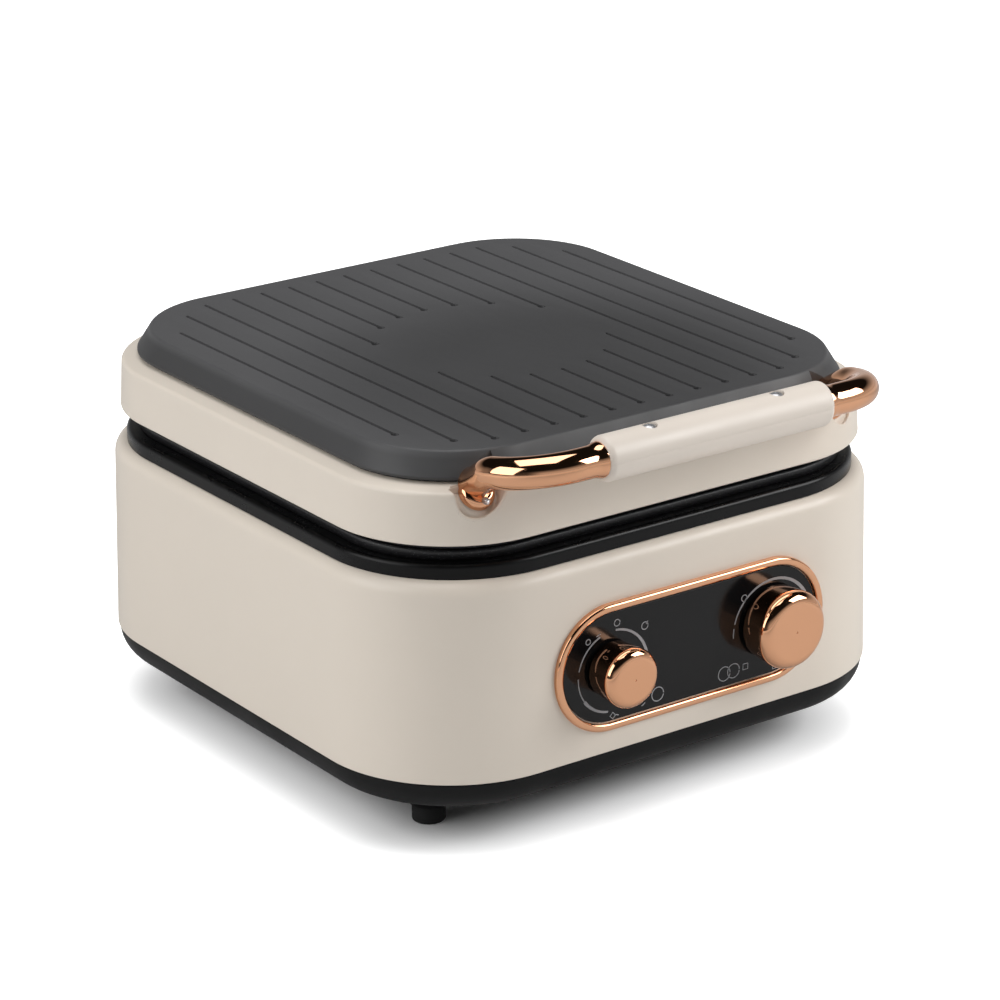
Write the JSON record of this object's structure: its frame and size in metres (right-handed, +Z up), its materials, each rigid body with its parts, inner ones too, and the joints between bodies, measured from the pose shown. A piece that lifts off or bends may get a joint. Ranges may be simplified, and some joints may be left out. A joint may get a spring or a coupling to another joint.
{
  "type": "sandwich maker",
  "caption": "Countertop sandwich maker: square rounded casing, lid on rear hinges with a bent-tube front handle, pocketed cooking plates, and a front panel with two turning knobs.",
  "frame": {"origin": "middle of the whole appliance's footprint, on the surface that its feet stand on", "axes": "+Z up, the control panel and the handle face -Y, the hinges are at +Y, +X is to the right of someone who faces the front"},
  "size_m": [0.28, 0.3312, 0.1901],
  "materials": {
    "cream_paint": "satin cream paint",
    "cream_plastic": "satin cream",
    "black_plastic": "fine matt texture",
    "black_gloss": "smooth black",
    "black_paint": "satin black paint",
    "coated_plate": "dark non-stick coating",
    "copper": "polished rose copper plating",
    "steel": "plain",
    "aluminium": "mill finish",
    "rubber": "matt"
  },
  "bodies": {
    "base": {"rubber_feet": "rubber", "bottom_tray": "black_plastic", "tray_screws": "steel", "base_shell": "cream_paint", "lower_rim": "black_plastic", "lower_plate": "coated_plate", "lower_heater": "steel", "lower_heater_clamp": "steel", "lower_clamp_screw": "steel", "lower_heat_shield": "aluminium", "lower_shield_screws": "steel", "thermal_cutout": "steel", "thermal_fuse": "steel", "control_panel": "black_gloss", "panel_trim": "copper", "selector_switch": "black_plastic", "thermostat": "steel", "control_nuts": "steel", "hinge_bracket_left": "black_paint", "hinge_bracket_right": "black_paint", "bracket_screws": "steel", "hinge_pin_left": "steel", "hinge_pin_right": "steel", "power_inlet": "black_plastic", "inlet_pins": "steel", "inlet_screws": "steel"},
    "lid": {"lid_shell": "cream_paint", "lid_cover": "black_plastic", "cover_screws": "steel", "upper_rim": "black_plastic", "upper_rim_screws": "steel", "upper_plate": "coated_plate", "upper_heater": "steel", "upper_heater_clamp": "steel", "upper_clamp_screw": "steel", "upper_heat_shield": "aluminium", "upper_shield_screws": "steel", "hinge_arm_left": "black_paint", "hinge_arm_right": "black_paint", "arm_screws": "steel", "handle_arm_left": "copper", "handle_arm_right": "copper", "root_screws": "steel", "grip_upper": "cream_plastic", "grip_lower": "cream_plastic", "grip_screws": "steel"},
    "selector": {"selector_knob": "copper", "selector_shaft": "steel"},
    "temperature": {"temperature_knob": "copper", "temperature_shaft": "steel"}
  },
  "joints": [
    {"name": "lid_hinge", "type": "hinge", "parent": "base", "child": "lid", "pos_m": [0, 0.1581, 0.134], "axis": [-1, 0, 0], "range_deg": [0, 105]},
    {"name": "selector_turn", "type": "hinge", "parent": "base", "child": "selector", "pos_m": [-0.0385, -0.1459, 0.0755], "axis": [0, 1, 0], "range_deg": [0, 270]},
    {"name": "temperature_turn", "type": "hinge", "parent": "base", "child": "temperature", "pos_m": [0.0505, -0.1459, 0.0755], "axis": [0, 1, 0], "range_deg": [0, 270]}
  ]
}
